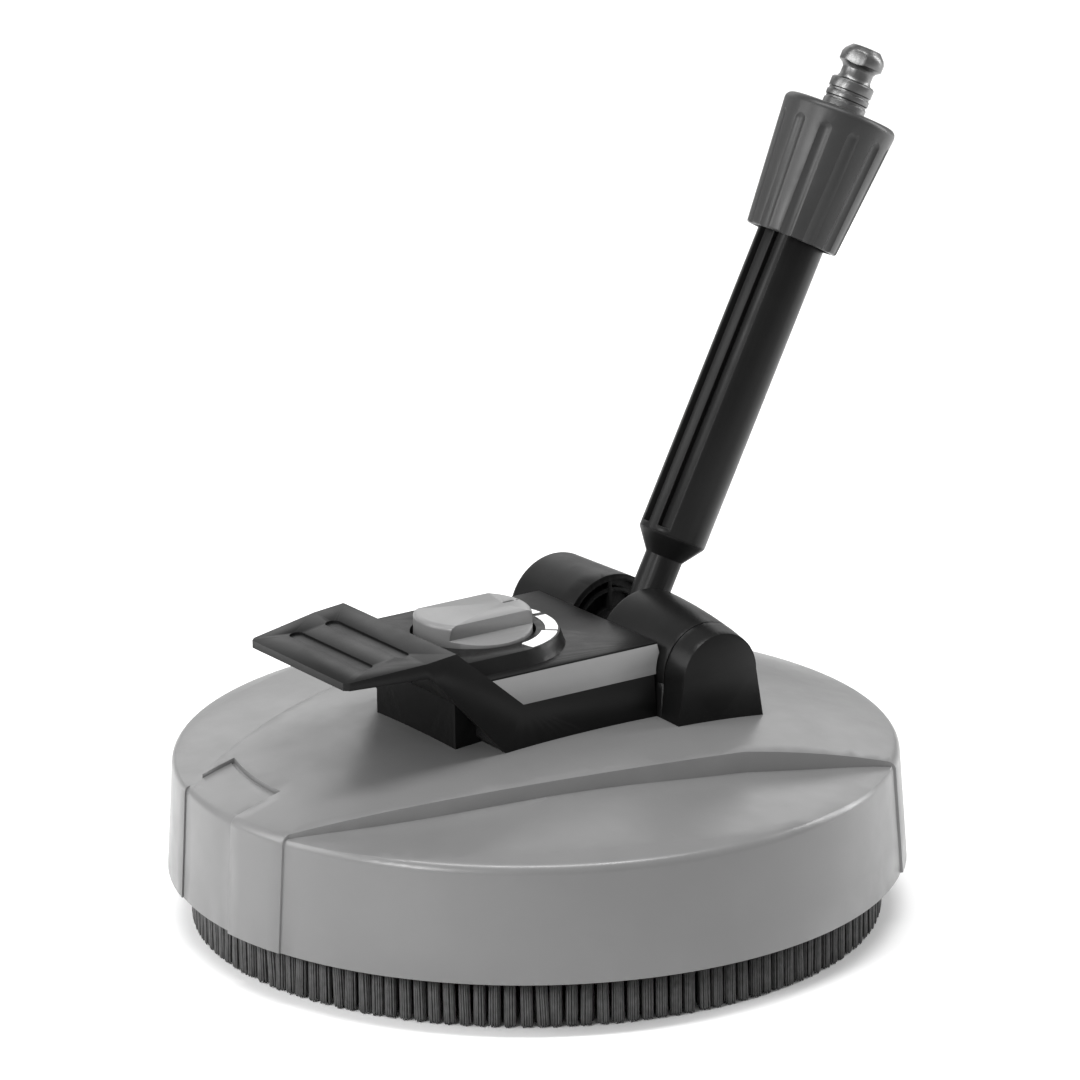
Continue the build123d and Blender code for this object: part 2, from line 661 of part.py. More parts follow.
with BuildPart() as housing_screws:          # through the hood into the valve block
    with BuildSketch(Plane.XY.offset(71)):
        with PolarLocations(FLANGE_SCREW_R, 4, start_angle=45):
            Circle(4.3)
            RegularPolygon(2.4, 6, mode=Mode.SUBTRACT)
    extrude(amount=4)
    with BuildSketch(Plane.XY.offset(74)):
        with PolarLocations(FLANGE_SCREW_R, 4, start_angle=45):
            Circle(2.3)
    extrude(amount=21.5)
keep(housing_screws, "housing_screws")

with BuildPart() as spigot_seal:
    with Locations((0, 0, 88.3)):
        Torus(11.05, 0.84)
keep(spigot_seal, "spigot_seal")

for low, label in zip(BEARINGS_Z, ("lower_bearing", "upper_bearing")):
    with BuildPart() as bearing:             # ball bearing with shields
        with BuildSketch(Plane.XY.offset(low)):
            Circle(BEARING_R - 0.02)
            Circle(SHAFT_R, mode=Mode.SUBTRACT)
        extrude(amount=BEARING_W)
        for face_z, depth in ((low, 0.6), (low + BEARING_W, -0.6)):
            with BuildSketch(Plane.XY.offset(face_z)):
                Circle(13.4)
                Circle(10.2, mode=Mode.SUBTRACT)
            extrude(amount=depth, mode=Mode.SUBTRACT)
    keep(bearing, label)

for label, inner, outer, low, high in (
    ("bearing_spacer", 12.5, BEARING_R - 0.05, BEARINGS_Z[0] + BEARING_W, BEARINGS_Z[1]),
    ("housing_circlip", 13.4, 16.7, 50.65, 51.85),
    ("dust_seal", 10.1, BEARING_R - 0.05, 46.8, 50.3),
    ("shaft_seal", 7.5, 11.95, 76.5, BOSS_Z - 0.15),
    ("shaft_circlip", 6.9, 9.4, 75.2, 76.2),
):
    with BuildPart() as ring:
        with BuildSketch(Plane.XY.offset(low)):
            Circle(outer)
            Circle(inner, mode=Mode.SUBTRACT)
            if "circlip" in label:           # the open side of a retaining ring
                with Locations((0, outer)):
                    Rectangle(4, outer, mode=Mode.SUBTRACT)
        extrude(amount=high - low)
    keep(ring, label)

with BuildPart() as rotor_shaft:             # hollow shaft that carries the water down
    with BuildSketch(Plane.XZ):
        with BuildLine():
            Polyline(
                (2.5, 40.3), (6.5, 40.3), (6.5, 46), (10, 46), (10, 51.9), (SHAFT_R - FIT, 51.9),
                (SHAFT_R - FIT, 75.15), (6.85, 75.15), (6.85, 76.25), (SHAFT_R - FIT, 76.25),
                (SHAFT_R - FIT, 78.9), (6.9, 79.5), (2.5, 79.5), close=True,
            )
        make_face()
    revolve(axis=Axis.Z)
keep(rotor_shaft, "rotor_shaft")

with BuildPart() as rotor_hub:
    with BuildSketch(Plane.XY.offset(26)):
        Circle(14)
    extrude(amount=20)
    chamfer(rotor_hub.edges().filter_by(GeomType.CIRCLE), 1)
    with BuildSketch(Plane.XY.offset(40.3)):
        Circle(6.5)
    extrude(amount=6, mode=Mode.SUBTRACT)
    with BuildSketch(Plane.YZ):
        with Locations((0, ROTOR_ARM_Z)):
            Circle(6)
    extrude(amount=20, both=True, mode=Mode.SUBTRACT)
    with BuildSketch(Plane.XY.offset(ROTOR_ARM_Z)):
        Circle(2.5)
    extrude(amount=7, mode=Mode.SUBTRACT)
keep(rotor_hub, "rotor_hub")

with BuildPart() as rotor_arm:               # cross tube fed through a hole at its middle
    with BuildSketch(Plane.YZ):
        with Locations((0, ROTOR_ARM_Z)):
            Circle(6)
            Circle(4, mode=Mode.SUBTRACT)
    extrude(amount=ARM_HALF - 3, both=True)
    with BuildSketch(Plane.XY.offset(ROTOR_ARM_Z)):
        Circle(2.5)
    extrude(amount=8, mode=Mode.SUBTRACT)
keep(rotor_arm, "rotor_arm")


def nozzle_plane(side, drop):
    """Plane across a nozzle holder, leaning so the jets push the arm round; Z points down."""
    lean = radians(NOZZLE_LEAN)
    z_dir = Vector(0, side * sin(lean), -cos(lean))
    return Plane(
        origin=Vector(side * ARM_HALF, 0, ROTOR_ARM_Z) + z_dir * drop, x_dir=(1, 0, 0), z_dir=z_dir
    )


with BuildPart() as nozzle_holders:
    for side in (-1, 1):
        with BuildSketch(nozzle_plane(side, -8.5)):
            Circle(8)
        extrude(amount=19)
    chamfer(nozzle_holders.edges().filter_by(GeomType.CIRCLE), 0.8)
    for side in (-1, 1):
        with BuildSketch(nozzle_plane(side, -1)):
            Circle(2.5)
        extrude(amount=12, mode=Mode.SUBTRACT)
        with BuildSketch(nozzle_plane(side, 7.4)):
            Circle(5)
        extrude(amount=8, mode=Mode.SUBTRACT)
    for radius, reach in ((6, ARM_HALF - 3), (3.6, ARM_HALF)):
        with BuildSketch(Plane.YZ):
            with Locations((0, ROTOR_ARM_Z)):
                Circle(radius)
        extrude(amount=reach, both=True, mode=Mode.SUBTRACT)
keep(nozzle_holders, "nozzle_holders")

with BuildPart() as nozzles:                 # threaded jet nozzles with a hexagon
    for side in (-1, 1):
        with BuildSketch(nozzle_plane(side, 7.4)):
            Circle(5)
        extrude(amount=3.4)
        with BuildSketch(nozzle_plane(side, 10.6)):
            RegularPolygon(5.8, 6)
        extrude(amount=4.4)
        for radius, depth in ((2.5, 3.8), (0.9, 8)):
            with BuildSketch(nozzle_plane(side, 7.4)):
                Circle(radius)
            extrude(amount=depth, mode=Mode.SUBTRACT)
keep(nozzles, "nozzles")

# ---------------------------------------------------------------- yoke
SECTOR = (77.5, 85.0)             # ends of the hub's full-width sector, from straight down


def below_pivot(front, rear, lift):
    """Prism under the tilt axis between two angles from straight down."""
    with BuildPart() as prism:
        with BuildSketch(pivot_disc(-75)):
            with BuildLine():
                Polyline(
                    (0, lift),
                    (-60 * sin(radians(front)), lift - 60 * cos(radians(front))),
                    (-60, -60), (60, -60),
                    (60 * sin(radians(rear)), lift - 60 * cos(radians(rear))),
                    close=True,
                )
            make_face()
        extrude(amount=150)
    return prism.part


def yoke_form():
    """Barrel running down into a spreading foot."""
    with BuildPart() as form:
        for x in (YOKE_X[0], -30, 0, 29, YOKE_X[1]):
            radius = barrel(x)
            with BuildSketch(pivot_disc(x)):
                with BuildLine():
                    ThreePointArc((-radius, 0), (0, radius), (radius, 0))
                    Polyline((radius, 0), (22.7, -30), (-22.7, -30), (-radius, 0))
                make_face()
        loft()
        left_end = form.faces().sort_by(Axis.X)[0]
        fillet(left_end.edges().sort_by(Axis.Z)[1:], 3)
    return form.part


def hub_room():
    """Room the hub sweeps as it tilts, with its narrow core over the saddle."""
    with BuildPart() as room:
        add(barrel_form(LEFT_INNER_X, RIGHT_INNER_X - 0.3, 0.4))
        add(below_pivot(46, 46, 0), mode=Mode.SUBTRACT)
        with BuildSketch(pivot_disc(LEFT_INNER_X)):
            Circle(14)
        extrude(amount=RIGHT_INNER_X - 0.3 - LEFT_INNER_X)
    return room.part


with BuildPart() as left_yoke:
    add(yoke_form())
    with BuildSketch(pivot_disc(RIGHT_INNER_X - 0.3)):   # ends at the right cap
        Rectangle(120, 120)
    extrude(amount=20, mode=Mode.SUBTRACT)
    add(hub_room(), mode=Mode.SUBTRACT)
    add(barrel_form(-58.4, -17, -2.6), mode=Mode.SUBTRACT)       # hollow barrel, open inwards
    with BuildSketch(pivot_disc(-24.5)):                 # web with ring and cross ribs
        Circle(barrel(-24) - 1)
    extrude(amount=2.2)
    with BuildSketch(pivot_disc(-22.5)):
        Circle(17.6)
        Circle(15.8, mode=Mode.SUBTRACT)
        Rectangle(42, 1.8)
        Rectangle(1.8, 42)
        Circle(9)
    extrude(amount=3.6)
    with BuildSketch(pivot_disc(-58.6)):                 # boss around the closed pin end
        Circle(9)
    extrude(amount=11)
    with BuildSketch(pivot_disc(-53)):
        Circle(PIN_R + FIT)
    extrude(amount=40, mode=Mode.SUBTRACT)
    with BuildSketch(pivot_disc(PIPE_X - 4.6)):          # pipe leaves through the front wall
        with Locations((-24, 0)):
            Rectangle(30, 9.4)
    extrude(amount=9.2, mode=Mode.SUBTRACT)
    with BuildSketch(Plane.XY.offset(70)):
        with Locations(*YOKE_BOSSES[:3]):
            Circle(SCREW_R)
    extrude(amount=18.6, mode=Mode.SUBTRACT)
    add(hood_seat.part, mode=Mode.SUBTRACT)
keep(left_yoke, "left_yoke")

with BuildPart() as right_yoke:
    add(yoke_form())
    with BuildSketch(pivot_disc(RIGHT_INNER_X)):
        Rectangle(120, 120)
    extrude(amount=-130, mode=Mode.SUBTRACT)
    with BuildSketch(pivot_disc(RIGHT_INNER_X)):         # relief round the pin boss
        Circle(14.5)
        Circle(9, mode=Mode.SUBTRACT)
    extrude(amount=7, mode=Mode.SUBTRACT)
    with BuildSketch(pivot_disc(RIGHT_INNER_X)):
        Circle(PIN_R + FIT)
    extrude(amount=8, mode=Mode.SUBTRACT)
    with BuildSketch(Plane.XY.offset(70)):
        with Locations(YOKE_BOSSES[3]):
            Circle(SCREW_R)
    extrude(amount=24, mode=Mode.SUBTRACT)
    add(hood_seat.part, mode=Mode.SUBTRACT)
keep(right_yoke, "right_yoke")

keep(hood_screws(YOKE_BOSSES, 7.0), "yoke_screws")

with BuildPart() as pivot_pin:               # tilt pin that also carries the water
    with BuildSketch(pivot_disc(-52.8)):
        Circle(PIN_R)
    extrude(amount=RIGHT_INNER_X + 7.6 + 52.8)
    with BuildSketch(pivot_disc(-3)):        # groove that feeds the hub at every tilt
        Circle(PIN_R)
        Circle(4.6, mode=Mode.SUBTRACT)
    extrude(amount=6, mode=Mode.SUBTRACT)
    with BuildSketch(pivot_disc(PIPE_X - 6)):
        Circle(2.6)
    extrude(amount=-PIPE_X + 9, mode=Mode.SUBTRACT)
    for x in (PIPE_X, 0):
        with BuildSketch(Plane.XZ.offset(-PIVOT_Y)):
            with Locations((x, PIVOT_Z)):
                Circle(1.8)
        extrude(amount=7, mode=Mode.SUBTRACT)
keep(pivot_pin, "pivot_pin")

with BuildPart() as water_elbow:             # banjo fitting on the pin
    with BuildSketch(pivot_disc(PIPE_X - 6)):
        Circle(10)
    extrude(amount=12)
    with BuildSketch(Plane.XZ.offset(8.5 - PIVOT_Y)):
        with Locations((PIPE_X, PIVOT_Z)):
            Circle(5.6)
    extrude(amount=5.5)
    with BuildSketch(pivot_disc(PIPE_X - 6)):
        Circle(PIN_R + FIT)
    extrude(amount=12, mode=Mode.SUBTRACT)
    with BuildSketch(Plane.XZ.offset(10 - PIVOT_Y)):
        with Locations((PIPE_X, PIVOT_Z)):
            Circle(FEED_R)
    extrude(amount=4, mode=Mode.SUBTRACT)
    with BuildSketch(Plane.XZ.offset(5 - PIVOT_Y)):
        with Locations((PIPE_X, PIVOT_Z)):
            Circle(2)
    extrude(amount=6, mode=Mode.SUBTRACT)
keep(water_elbow, "water_elbow")

# ---------------------------------------------------------------- lance
with BuildPart() as pivot_hub:
    add(barrel_form(HUB_SHELL_X, HUB_X[1], 0))
    add(below_pivot(*SECTOR, 0), mode=Mode.SUBTRACT)
    with BuildSketch(pivot_disc(HUB_X[0])):
        Circle(13.5)
    extrude(amount=HUB_X[1] - HUB_X[0])
    with BuildSketch(LANCE):
        Circle(NECK_R)
    extrude(amount=CONE_S[0])
    with BuildSketch(Plane(origin=LANCE_FOOT, x_dir=(1, 0, 0), z_dir=-LANCE.y_dir)):
        with BuildLine():
            Polyline(
                (0, CONE_S[0] - 1), (NECK_R, CONE_S[0] - 1), (NECK_R, CONE_S[0] - 0.4),
                (TUBE_R - 0.4, CONE_S[1] - 0.8), (TUBE_R, CONE_S[1]), (8.5, CONE_S[1]),
                (8.5, CONE_S[1] + 9), (0, CONE_S[1] + 9), close=True,
            )
        make_face()
    revolve(axis=Axis(LANCE_FOOT, LANCE.z_dir))
    with BuildSketch(along_lance(16)):       # socket of the steel pipe
        Circle(PIPE_R)
    extrude(amount=60, mode=Mode.SUBTRACT)
    with BuildSketch(LANCE):
        Circle(2.4)
    extrude(amount=18, mode=Mode.SUBTRACT)
    with BuildPart(mode=Mode.PRIVATE) as hollow:
        add(barrel_form(12, HUB_X[1], -3))
        add(below_pivot(*SECTOR, 3), mode=Mode.SUBTRACT)
        with BuildSketch(pivot_disc(0)):
            Circle(9.4)
        extrude(amount=60, mode=Mode.SUBTRACT)
    add(hollow.part, mode=Mode.SUBTRACT)
    with BuildSketch(pivot_disc(HUB_X[0])):
        Circle(PIN_R + FIT)
    extrude(amount=60, mode=Mode.SUBTRACT)
    for x in (-6.3, 3.7):                    # seal grooves
        with BuildSketch(pivot_disc(x)):
            Circle(8.2)
        extrude(amount=2.6, mode=Mode.SUBTRACT)
keep(pivot_hub, "pivot_hub")

with BuildPart() as pivot_seals:
    for x in (-5, 5):
        with Locations(pivot_disc(x)):
            Torus(7.13, 1.03)
keep(pivot_seals, "pivot_seals")


def channel(start, end, s_low, s_high):
    """Groove along the lance between two angles round it."""
    with BuildPart() as groove:
        with BuildSketch(along_lance(s_low)):
            with BuildLine():
                outer_arc = CenterArc((0, 0), TUBE_R + 1, start, end - start)
                inner_arc = CenterArc((0, 0), TUBE_R - 3, start, end - start)
                Line(outer_arc @ 0, inner_arc @ 0)
                Line(outer_arc @ 1, inner_arc @ 1)
            make_face()
        extrude(amount=s_high - s_low)
    return groove.part


with BuildPart() as lance_tube:
    with BuildSketch(along_lance(CONE_S[1])):
        Circle(TUBE_R)
        Circle(8.5, mode=Mode.SUBTRACT)
    extrude(amount=TUBE_TOP_S - CONE_S[1])
    for start, end in ((-69.5, -46.0), (-110.0, -90.5)):
        add(channel(start, end, CONE_S[1] + 2.5, 192), mode=Mode.SUBTRACT)
keep(lance_tube, "lance_tube")

with BuildPart() as lance_pipe:
    with BuildSketch(along_lance(16)):
        Circle(PIPE_R)
        Circle(PIPE_R - 1.4, mode=Mode.SUBTRACT)
    extrude(amount=PLUG_FOOT_S + 14 - 16)
keep(lance_pipe, "lance_pipe")

with BuildPart() as flute:                   # one finger groove, round ended
    slant = (COLLAR_R[1] - COLLAR_R[0]) / (COLLAR_S[1] - COLLAR_S[0])
    groove_r = COLLAR_R[0] + FLUTE_BIT - 1
    foot = along_lance(COLLAR_S[0]).from_local_coords(Vector(groove_r, 0, 0))
    run = (LANCE.z_dir + LANCE.x_dir * slant).normalized()
    with BuildSketch(Plane(origin=foot - run * 5, z_dir=run)):
        Circle(FLUTE_BIT)
    extrude(amount=5 + FLUTE_LENGTH)
    with Locations(foot + run * FLUTE_LENGTH):
        Sphere(FLUTE_BIT)

with BuildPart() as collar:
    with BuildSketch(Plane(origin=LANCE_FOOT, x_dir=(1, 0, 0), z_dir=-LANCE.y_dir)):
        with BuildLine():
            wall = Line((COLLAR_R[0], COLLAR_S[0]), (COLLAR_R[1], COLLAR_S[1]))
            Polyline(wall @ 1, (9.2, COLLAR_S[1]), (9.2, TUBE_TOP_S + 0.2),
                     (TUBE_R + FIT, TUBE_TOP_S + 0.2), (TUBE_R + FIT, COLLAR_S[0] + 20),
                     (17, COLLAR_S[0] + 20), (17, COLLAR_S[0]), wall @ 0)
        make_face()
    revolve(axis=Axis(LANCE_FOOT, LANCE.z_dir))
    rims = collar.edges().filter_by(GeomType.CIRCLE).sort_by(SortBy.RADIUS)
    fillet(rims[-1], 3.0)
    fillet(collar.edges().filter_by(GeomType.CIRCLE).sort_by_distance(foot)[0], 1.0)
    for k in range(12):
        add(flute.part.rotate(Axis(LANCE_FOOT, LANCE.z_dir), 12 + 30 * k), mode=Mode.SUBTRACT)
keep(collar, "collar")

with BuildPart() as plug:                    # bayonet inlet plug
    with BuildSketch(Plane(origin=LANCE_FOOT, x_dir=(1, 0, 0), z_dir=-LANCE.y_dir)):
        with BuildLine():
            Polyline(
                (3, PLUG_FOOT_S), (8.4, PLUG_FOOT_S), (8.4, TUBE_TOP_S), (PLUG_R, TUBE_TOP_S + 0.4),
                (PLUG_R, 235.6), (PLUG_R - 0.5, 236), (PLUG_R - 0.5, 236.8), (PLUG_R, 237.2),
                (PLUG_R, 239.2), (PLUG_R - 0.5, 239.6), (PLUG_R - 0.5, 240.4), (PLUG_R, 240.8),
                (PLUG_R, PLUG_S[0] - 0.6), (PLUG_R - 0.6, PLUG_S[0]), (7.2, PLUG_S[0] + 0.4),
                (6.6, PLUG_S[0] + 1.8), (6.6, PLUG_S[1] - 0.6), (7.4, PLUG_S[1] + 0.6),
                (PLUG_R, PLUG_S[1] + 1.8), (PLUG_R, PLUG_S[1] + 5), (8.4, PLUG_S[1] + 6.6),
                (6, PLUG_S[2]), (3, PLUG_S[2]), close=True,
            )
        make_face()
    revolve(axis=Axis(LANCE_FOOT, LANCE.z_dir))
    with BuildSketch(along_lance(PLUG_S[1])):            # flats of the bayonet head
        Rectangle(30, 30)
        Rectangle(30, 16.4, rotation=35, mode=Mode.SUBTRACT)
    extrude(amount=12, mode=Mode.SUBTRACT)
    with BuildSketch(along_lance(PLUG_FOOT_S)):
        Circle(PIPE_R)
    extrude(amount=14, mode=Mode.SUBTRACT)
keep(plug, "plug")
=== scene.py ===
import json
import math
import random

import bmesh
import bpy
from mathutils import Matrix, Vector


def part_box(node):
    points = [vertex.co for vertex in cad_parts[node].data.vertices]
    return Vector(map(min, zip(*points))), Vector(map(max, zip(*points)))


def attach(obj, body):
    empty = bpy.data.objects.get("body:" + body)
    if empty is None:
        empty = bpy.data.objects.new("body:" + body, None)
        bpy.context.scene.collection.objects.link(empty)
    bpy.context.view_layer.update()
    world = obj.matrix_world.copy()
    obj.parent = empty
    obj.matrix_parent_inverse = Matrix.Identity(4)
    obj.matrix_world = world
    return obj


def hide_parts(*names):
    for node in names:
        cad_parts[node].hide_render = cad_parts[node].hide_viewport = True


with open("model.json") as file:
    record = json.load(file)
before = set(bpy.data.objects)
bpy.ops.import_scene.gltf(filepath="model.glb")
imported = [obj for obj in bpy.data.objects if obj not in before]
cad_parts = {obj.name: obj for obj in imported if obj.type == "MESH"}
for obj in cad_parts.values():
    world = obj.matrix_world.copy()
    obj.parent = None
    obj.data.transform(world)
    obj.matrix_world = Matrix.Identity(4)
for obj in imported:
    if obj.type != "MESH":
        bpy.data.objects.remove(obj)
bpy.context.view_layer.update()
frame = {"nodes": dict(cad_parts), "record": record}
nodes = frame["nodes"]
random.seed(7)
MM = 0.001

# ---------------------------------------------------------------- camera, at the photograph's angle
AZIMUTH, ELEVATION, ROLL = (math.radians(v) for v in (55.93, 17.29, -0.77))
CAMERA_DISTANCE = 2.6                        # metres, far enough for an almost flat view
CAMERA_LENS = 216.2                          # millimetres
AIM_RIGHT = 3.3 * MM                         # the picture's middle, right of the hood's axis
AIM_HEIGHT = 154.5 * MM


def add_camera():
    """Long lens, aimed at the middle of the object from the front right, a little above."""
    back = Vector((
        math.sin(AZIMUTH) * math.cos(ELEVATION),
        -math.cos(AZIMUTH) * math.cos(ELEVATION),
        math.sin(ELEVATION),
    ))
    level = Vector((math.cos(AZIMUTH), math.sin(AZIMUTH), 0))
    right = math.cos(ROLL) * level + math.sin(ROLL) * back.cross(level)
    up = back.cross(right)
    camera = bpy.data.objects.new("camera", bpy.data.cameras.new("camera"))
    camera.matrix_world = Matrix((
        (right.x, up.x, back.x, 0),
        (right.y, up.y, back.y, 0),
        (right.z, up.z, back.z, 0),
        (0, 0, 0, 1),
    ))
    camera.location = level * AIM_RIGHT + Vector((0, 0, AIM_HEIGHT)) + back * CAMERA_DISTANCE
    camera.data.sensor_width = 36
    camera.data.lens = CAMERA_LENS
    camera.data.clip_end = 50
    bpy.context.scene.collection.objects.link(camera)
    bpy.context.scene.camera = camera


# ---------------------------------------------------------------- materials
class Tree:
    """Short way to write a procedural material's nodes."""

    def __init__(self, name):
        self.material = bpy.data.materials.new(name)
        self.material.use_nodes = True
        self.nodes = self.material.node_tree.nodes
        self.links = self.material.node_tree.links
        self.shader = self.nodes["Principled BSDF"]
        self.coords = self.nodes.new("ShaderNodeTexCoord").outputs["Object"]

    def noise(self, scale, detail=3.0, roughness=0.55, stretch=None):
        """Fractal noise in the object's own metres; scale in cycles per metre."""
        texture = self.nodes.new("ShaderNodeTexNoise")
        texture.inputs["Scale"].default_value = scale
        texture.inputs["Detail"].default_value = detail
        texture.inputs["Roughness"].default_value = roughness
        source = self.coords
        if stretch:
            mapping = self.nodes.new("ShaderNodeMapping")
            mapping.inputs["Scale"].default_value = stretch
            self.links.new(source, mapping.inputs["Vector"])
            source = mapping.outputs["Vector"]
        self.links.new(source, texture.inputs["Vector"])
        return texture.outputs["Fac"]

    def remap(self, value, low, high, from_low=0.3, from_high=0.7):
        """Values between from_low and from_high spread over low to high."""
        node = self.nodes.new("ShaderNodeMapRange")
        node.inputs["From Min"].default_value = from_low
        node.inputs["From Max"].default_value = from_high
        node.inputs["To Min"].default_value = low
        node.inputs["To Max"].default_value = high
        self.links.new(value, node.inputs["Value"])
        return node.outputs["Result"]

    def colour(self, value, tint=(1, 1, 1)):
        """A tint scaled by one value: grey unless a tint is given."""
        node = self.nodes.new("ShaderNodeVectorMath")
        node.operation = "SCALE"
        node.inputs[0].default_value = tint
        self.links.new(value, node.inputs["Scale"])
        return node.outputs["Vector"]

    def bump(self, height, distance, strength=1.0, below=None):
        """Bump of that depth in metres, laid over another bump if one is given."""
        node = self.nodes.new("ShaderNodeBump")
        node.inputs["Distance"].default_value = distance
        node.inputs["Strength"].default_value = strength
        self.links.new(height, node.inputs["Height"])
        if below:
            self.links.new(below, node.inputs["Normal"])
        return node.outputs["Normal"]

    def set(self, **sockets):
        """Plain values or links on the shader, sockets named with underscores for spaces."""
        for name, value in sockets.items():
            socket = self.shader.inputs[name.replace("_", " ")]
            if isinstance(value, bpy.types.NodeSocket):
                self.links.new(value, socket)
            else:
                socket.default_value = value


def plastic(name, level, spread, roughness, grain_depth, grain_scale=2600, mottle=24, shine=0.5):
    """Moulded plastic of one grey level: soft mottling, fine grain (depth in mm), uneven gloss."""
    tree = Tree(name)
    tone = tree.remap(tree.noise(mottle, 4), level - spread, level + spread)
    gloss = tree.remap(tree.noise(mottle * 2.3, 3), roughness - 0.05, roughness + 0.05)
    grain = tree.bump(tree.noise(grain_scale, 2, 0.6), grain_depth * MM, 0.6)
    tree.set(Base_Color=tree.colour(tone), Roughness=gloss, Normal=grain, Specular_IOR_Level=shine)
    return tree.material


def metal(name, level, roughness, stretch, tint=(1, 1, 1), scale=900):
    """Turned or drawn metal; stretch presses its fine tool marks together along an axis."""
    tree = Tree(name)
    marks = tree.noise(scale, 3, 0.6, stretch)
    tone = tree.remap(marks, level * 0.86, level * 1.1)
    gloss = tree.remap(marks, roughness - 0.07, roughness + 0.1)
    tree.set(
        Base_Color=tree.colour(tone, tint), Roughness=gloss, Metallic=1.0,
        Normal=tree.bump(marks, 0.02 * MM, 0.5),
    )
    return tree.material


MATERIALS = {
    "hood_plastic": plastic("hood_satin_grey", 0.13, 0.004, 0.33, 0.012),
    "black_plastic": plastic("black_moulded_plastic", 0.005, 0.0008, 0.36, 0.02, shine=0.14),
    "light_trim": plastic("trim_satin_grey", 0.21, 0.008, 0.4, 0.012),
    "mark_white": plastic("printed_white", 0.86, 0.02, 0.5, 0.005),
    "dial_grey": plastic("dial_satin_grey", 0.15, 0.005, 0.34, 0.012),
    "collar_grey": plastic("collar_dark_grey", 0.02, 0.003, 0.4, 0.02, shine=0.35),
    "bristle_fibre": plastic(
        "bristle_fibre", 0.058, 0.018, 0.45, 0.004, grain_scale=900, mottle=400, shine=0.3,
    ),
    "alloy": metal("machined_alloy", 0.6, 0.35, (1, 1, 6)),
    "screw_steel": metal("zinc_plated_steel", 0.5, 0.34, (1, 1, 1)),
    "steel": metal("turned_steel", 0.55, 0.28, (1, 1, 14)),
    "plug_metal": metal("plug_turned_metal", 0.13, 0.34, (1, 1, 10)),
    "brass": metal("machined_brass", 0.62, 0.3, (1, 1, 8), (1.0, 0.78, 0.42)),
    "seal_rubber": plastic("seal_rubber", 0.02, 0.004, 0.7, 0.01),
}


# ---------------------------------------------------------------- CAD pieces kept as they are
EDGE_ROUNDING = {                            # millimetres; other nodes get the default
    "hood_shell": 0.8, "deck": 0.5, "handle_cover": 0.9, "knob": 0.8, "right_yoke": 0.8,
    "left_yoke": 0.6, "pivot_hub": 0.5, "collar": 0.25, "plug": 0.15, "dial_marks": 0.05,
}
DEFAULT_ROUNDING = 0.25
WELD_DISTANCE = 0.002 * MM
SHARP_ANGLE = math.radians(28)               # only edges sharper than this are rounded


def finish_cad_nodes():
    """Real finishes on the CAD nodes, with their sharp edges broken."""
    slots = {part["node"]: part["material_slot"] for part in frame["record"]["subparts"]}
    for name, piece in nodes.items():
        piece.data.materials.clear()
        piece.data.materials.append(MATERIALS[slots[name]])
        piece.data.shade_smooth()
        weld = piece.modifiers.new("weld", "WELD")
        weld.merge_threshold = WELD_DISTANCE
        bevel = piece.modifiers.new("edges", "BEVEL")
        bevel.width = EDGE_ROUNDING.get(name, DEFAULT_ROUNDING) * MM
        bevel.segments = 2
        bevel.limit_method = "ANGLE"
        bevel.angle_limit = SHARP_ANGLE
        bevel.harden_normals = True
        bevel.use_clamp_overlap = True


# ---------------------------------------------------------------- brush
TUFT_PITCH = 6.0 * MM
TUFT_R = 2.25 * MM
FILAMENT_R = 0.5 * MM
FILAMENT_RINGS = ((0, 1), (0.45, 6), (0.86, 13))     # share of the tuft's radius, filaments in it
FILAMENT_SIDES = 5
TUFT_LEAN = 0.35 * MM                        # usual sideways lean of a tuft
TIP_GAPS = (0.1, 0.8)                        # millimetres from the floor to the tips
BRISTLE_INNER_R = 131 * MM


def add_filament(mesh, foot, tip, radius):
    """One straight bristle with a slightly tapered tip."""
    along = (tip - foot).normalized()
    side = along.orthogonal().normalized()
    other = along.cross(side)
    turns = [2 * math.pi * i / FILAMENT_SIDES for i in range(FILAMENT_SIDES)]
    rings = []
    for centre, size in ((foot, radius), (foot.lerp(tip, 0.93), radius), (tip, radius * 0.55)):
        rings.append([
            mesh.verts.new(centre + (side * math.cos(a) + other * math.sin(a)) * size)
            for a in turns
        ])
    for lower, upper in zip(rings, rings[1:]):
        for i in range(FILAMENT_SIDES):
            j = (i + 1) % FILAMENT_SIDES
            mesh.faces.new((lower[i], lower[j], upper[j], upper[i]))
    mesh.faces.new(rings[0][::-1])
    mesh.faces.new(rings[-1])


def add_tuft(mesh, out, ring, top, floor, outer):
    """A bundle of bristles that spreads a little towards the floor."""
    along = Vector((-out.y, out.x, 0))
    lean = random.gauss(0, 1) * TUFT_LEAN
    for share, count in FILAMENT_RINGS:
        start = random.uniform(0, 2 * math.pi)
        for k in range(count):
            angle = start + 2 * math.pi * k / count + random.uniform(-0.1, 0.1)
            reach = share * TUFT_R * random.uniform(0.92, 1.04)
            spread = random.uniform(0.98, 1.14)
            foot = out * (ring + math.cos(angle) * reach) + along * math.sin(angle) * reach
            tip_r = min(ring + math.cos(angle) * reach * spread, outer - FILAMENT_R)
            tip = out * tip_r + along * (math.sin(angle) * reach * spread + lean)
            foot.z = top
            tip.z = floor + random.uniform(*TIP_GAPS) * MM
            add_filament(mesh, foot, tip, FILAMENT_R)


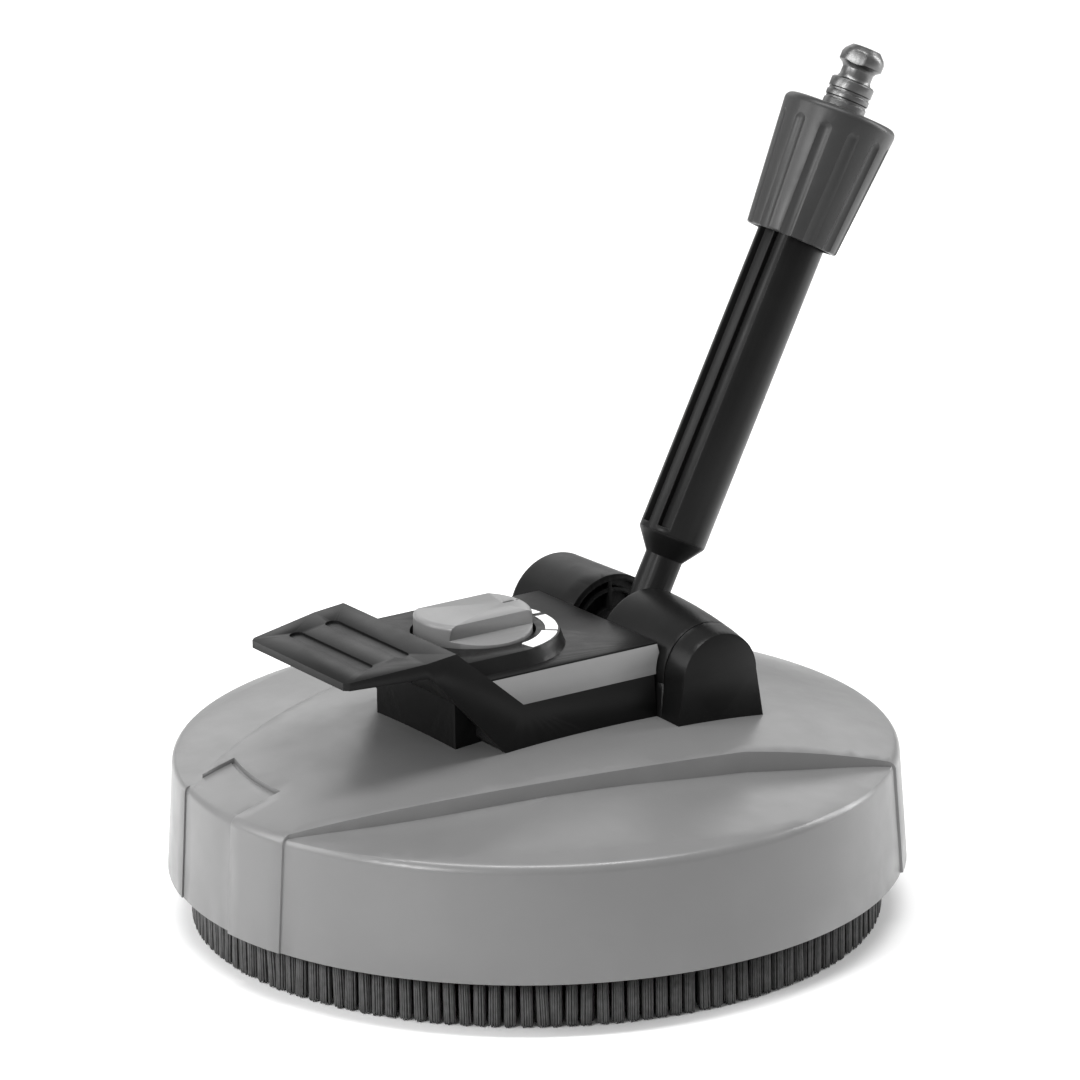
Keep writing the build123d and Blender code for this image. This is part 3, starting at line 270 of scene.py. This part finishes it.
def add_bristles():
    """Two rows of tufts set in the carrier, in place of the plain CAD ring."""
    low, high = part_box("brush_bristles")
    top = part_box("brush_carrier")[0].z
    mesh = bmesh.new()
    for row, ring in enumerate((BRISTLE_INNER_R + TUFT_R, high.x - TUFT_R)):
        count = round(2 * math.pi * ring / TUFT_PITCH)
        for k in range(count):
            turn = 2 * math.pi * (k + 0.5 * row + random.uniform(-0.05, 0.05)) / count
            out = Vector((math.cos(turn), math.sin(turn), 0))
            add_tuft(mesh, out, ring, top, low.z, high.x)
    data = bpy.data.meshes.new("bristle_tufts")
    mesh.to_mesh(data)
    mesh.free()
    data.shade_smooth()
    tufts = bpy.data.objects.new("bristle_tufts", data)
    bpy.context.scene.collection.objects.link(tufts)
    data.materials.append(MATERIALS["bristle_fibre"])
    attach(tufts, "base")
    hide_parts("brush_bristles")


# ---------------------------------------------------------------- studio
FLOOR_HALF_SIZE = 30                         # metres
FLOOR_LEVELS = (0.92, 0.94)
WORLD_STRENGTH = 0.55
LIT_POINT = Vector((0, 0, 0.12))
SOFT_BOXES = {            # metres right, up and towards the camera; size in metres; watts
    "key_left": ((-1.5, 0.8, 0.2), (0.6, 1.2), 14),
    "back": ((-0.3, 1.1, -2.0), (3.0, 1.0), 11),
    "rim_right": ((1.5, 0.7, -0.6), (0.4, 1.2), 18),
    "top_strip": ((0.0, 2.0, 0.1), (1.6, 0.24), 34),
    "front_left": ((-1.3, 1.1, 1.5), (0.6, 0.7), 26),
}


def add_floor():
    """Wide, pale, matt floor under the object."""
    mesh = bmesh.new()
    bmesh.ops.create_grid(mesh, x_segments=1, y_segments=1, size=FLOOR_HALF_SIZE)
    data = bpy.data.meshes.new("floor")
    mesh.to_mesh(data)
    mesh.free()
    floor = bpy.data.objects.new("floor", data)
    bpy.context.scene.collection.objects.link(floor)
    tree = Tree("pale_floor")
    tree.set(Base_Color=tree.colour(tree.remap(tree.noise(1.5), *FLOOR_LEVELS)), Roughness=0.6)
    data.materials.append(tree.material)


def add_world():
    """Even white light from all round."""
    world = bpy.data.worlds.new("studio")
    world.use_nodes = True
    background = world.node_tree.nodes["Background"]
    background.inputs["Color"].default_value = (1, 1, 1, 1)
    background.inputs["Strength"].default_value = WORLD_STRENGTH
    bpy.context.scene.world = world


def seen_from_camera(across, up, towards):
    """A place given in metres to the right, up and towards the camera from the object."""
    level = Vector((math.cos(AZIMUTH), math.sin(AZIMUTH), 0))
    near = Vector((math.sin(AZIMUTH), -math.cos(AZIMUTH), 0))
    return level * across + near * towards + Vector((0, 0, up))


def add_soft_boxes():
    """Area lights round the object, each facing its middle."""
    for name, (place, size, watts) in SOFT_BOXES.items():
        lamp = bpy.data.lights.new(name, "AREA")
        lamp.shape = "RECTANGLE"
        lamp.size, lamp.size_y = size
        lamp.energy = watts
        light = bpy.data.objects.new(name, lamp)
        light.location = seen_from_camera(*place)
        light.rotation_mode = "QUATERNION"
        light.rotation_quaternion = (LIT_POINT - light.location).to_track_quat("-Z", "Y")
        bpy.context.scene.collection.objects.link(light)


bpy.context.scene.view_settings.view_transform = "Standard"
add_camera()
finish_cad_nodes()
add_bristles()
add_floor()
add_world()
add_soft_boxes()
